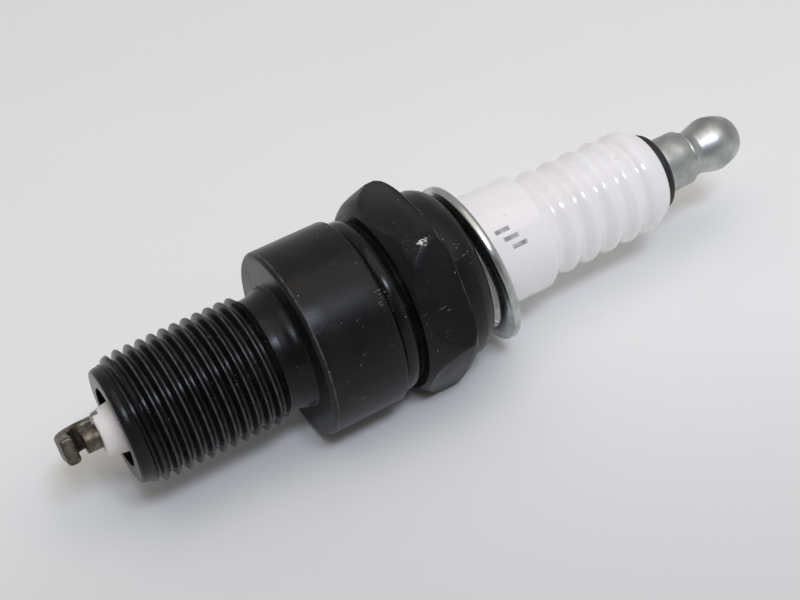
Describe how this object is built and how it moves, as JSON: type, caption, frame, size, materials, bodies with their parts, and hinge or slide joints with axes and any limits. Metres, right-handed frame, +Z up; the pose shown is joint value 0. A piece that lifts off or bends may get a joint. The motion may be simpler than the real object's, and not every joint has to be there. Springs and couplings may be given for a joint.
{
  "type": "spark plug",
  "caption": "Spark plug with M14 threaded shell, hexagon, ribbed ceramic insulator, quarter-inch terminal post and a loose crush gasket.",
  "frame": {"origin": "centre of the gasket seat face, on the plug's axis", "axes": "+X along the plug's axis towards the terminal, +Z up with the plug lying on one hexagon flat"},
  "size_m": [0.0826, 0.0236, 0.0206],
  "materials": {
    "black_oxide_steel": "satin",
    "nickel": "satin",
    "ceramic": "gloss",
    "copper": "satin",
    "glass_seal": "gloss",
    "resistor_mix": "matte",
    "zinc_plate": "satin",
    "black_rubber": "matte",
    "bright_steel": "satin",
    "talc": "matte"
  },
  "bodies": {
    "plug": {"shell": "black_oxide_steel", "ground_electrode": "nickel", "insulator": "ceramic", "centre_electrode": "nickel", "electrode_copper_core": "copper", "lower_glass_seal": "glass_seal", "resistor": "resistor_mix", "upper_glass_seal": "glass_seal", "terminal": "zinc_plate", "terminal_seal_ring": "black_rubber", "seat_washer": "bright_steel", "lower_packing_ring": "bright_steel", "talc_packing": "talc", "upper_packing_ring": "bright_steel"},
    "gasket": {"crush_gasket": "zinc_plate"}
  },
  "joints": [
    {"name": "gasket_slide", "type": "slide", "parent": "plug", "child": "gasket", "axis": [1, 0, 0], "range_m": [0, 0.038]}
  ]
}
